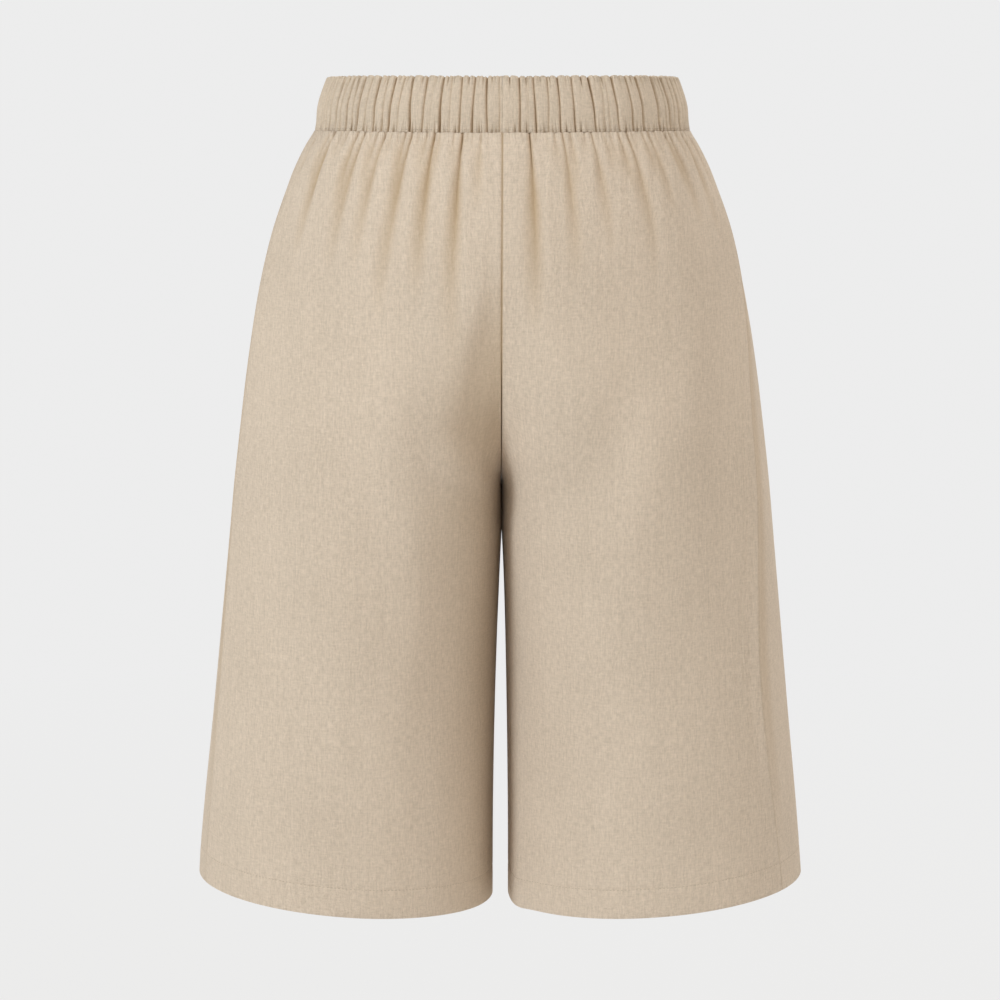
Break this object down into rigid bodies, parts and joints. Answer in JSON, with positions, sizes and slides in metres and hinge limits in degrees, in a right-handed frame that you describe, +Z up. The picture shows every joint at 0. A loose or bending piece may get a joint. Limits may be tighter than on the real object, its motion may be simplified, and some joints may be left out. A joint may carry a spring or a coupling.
{
  "type": "wide-leg shorts",
  "caption": "Knee-length wide-leg shorts with a gathered elastic waist, filled out as if worn, hollow and open at the waist and hems.",
  "frame": {"origin": "middle of the waist opening, level with the top edge at centre back, where the wearer's waist holds the garment", "axes": "+Z up along the wearer, +Y toward the wearer's front, +X toward the wearer's right; the back, which faces -Y, is the side shown"},
  "size_m": [0.4532, 0.2373, 0.6135],
  "materials": {
    "linen_sand": "matt plain weave with fine slubs",
    "linen_sand_gathered": "the same cloth, ruched over elastic"
  },
  "bodies": {
    "root": {"waistband": "linen_sand_gathered", "back_left_leg": "linen_sand", "back_right_leg": "linen_sand", "front_left_leg": "linen_sand", "front_right_leg": "linen_sand"}
  },
  "joints": []
}
